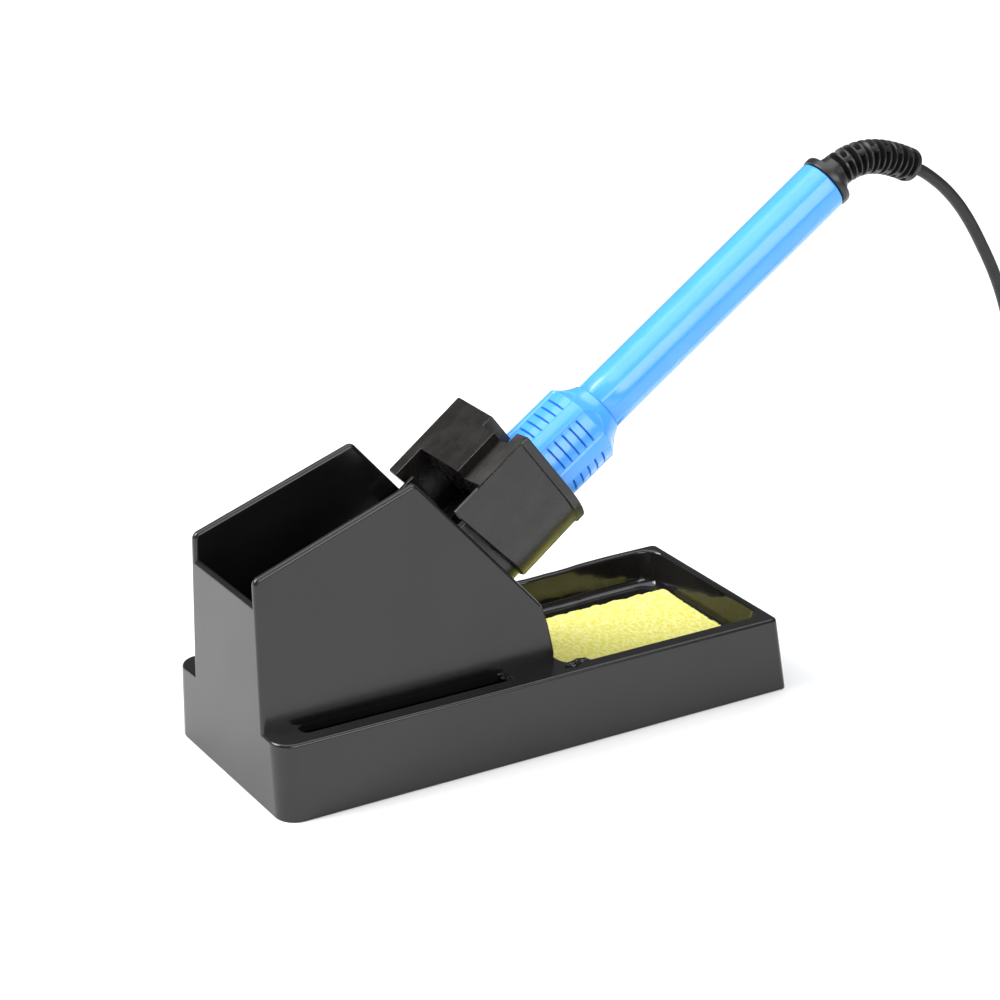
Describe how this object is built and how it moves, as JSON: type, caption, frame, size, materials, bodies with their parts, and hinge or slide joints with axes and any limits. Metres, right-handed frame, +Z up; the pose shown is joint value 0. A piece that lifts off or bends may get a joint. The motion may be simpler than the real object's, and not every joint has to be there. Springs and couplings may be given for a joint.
{
  "type": "soldering iron stand",
  "caption": "Bench stand with a walled tip guard, a cradle block on its slope holding a corded soldering iron, and a sponge tray.",
  "frame": {"origin": "middle of the flat underside of the stand, at the level it stands on", "axes": "+X along the base from the tip guard to the sponge tray, +Y away from the deck slot's side, +Z up"},
  "size_m": [0.4061, 0.1113, 0.174],
  "materials": {
    "black_plastic": "satin moulded plastic",
    "phenolic": "dull warm black heat-resistant moulding",
    "blue_plastic": "sky blue moulded plastic",
    "rubber": "soft black moulding",
    "lead": "dark round cable jacket",
    "sponge": "yellow pressed cellulose sponge",
    "steel": "plain steel",
    "dark_steel": "dark coated steel",
    "plated_tip": "iron-plated, heat-tinted",
    "ceramic": "unglazed ceramic",
    "brass": "bright plug pins"
  },
  "bodies": {
    "stand": {"base_moulding": "black_plastic", "bottom_plate": "dark_steel", "rubber_foot_1": "rubber", "rubber_foot_2": "rubber", "rubber_foot_3": "rubber", "rubber_foot_4": "rubber", "plate_screw_1": "dark_steel", "plate_screw_2": "dark_steel", "plate_screw_3": "dark_steel", "plate_screw_4": "dark_steel", "cradle_block": "phenolic", "cradle_screw_1": "steel", "cradle_screw_2": "steel", "lead_drop": "lead", "lead_coil": "lead", "coil_tie": "rubber", "lead_tail": "lead", "plug_body": "rubber", "plug_pin_near": "brass", "plug_pin_far": "brass"},
    "sponge": {"cleaning_sponge": "sponge"},
    "iron": {"soldering_tip": "plated_tip", "tip_screw": "steel", "barrel_tube": "steel", "heater_core": "ceramic", "heat_shield": "dark_steel", "grip_collar": "blue_plastic", "handle_shell": "blue_plastic", "terminal_block": "ceramic", "cord_clamp": "black_plastic", "handle_end_ring": "rubber", "strain_relief": "rubber"}
  },
  "joints": [
    {"name": "iron_slide", "type": "slide", "parent": "stand", "child": "iron", "axis": [0.8171, 0, 0.5764], "range_m": [0, 0.1]},
    {"name": "sponge_lift", "type": "slide", "parent": "stand", "child": "sponge", "axis": [0, 0, 1], "range_m": [0, 0.02]}
  ]
}
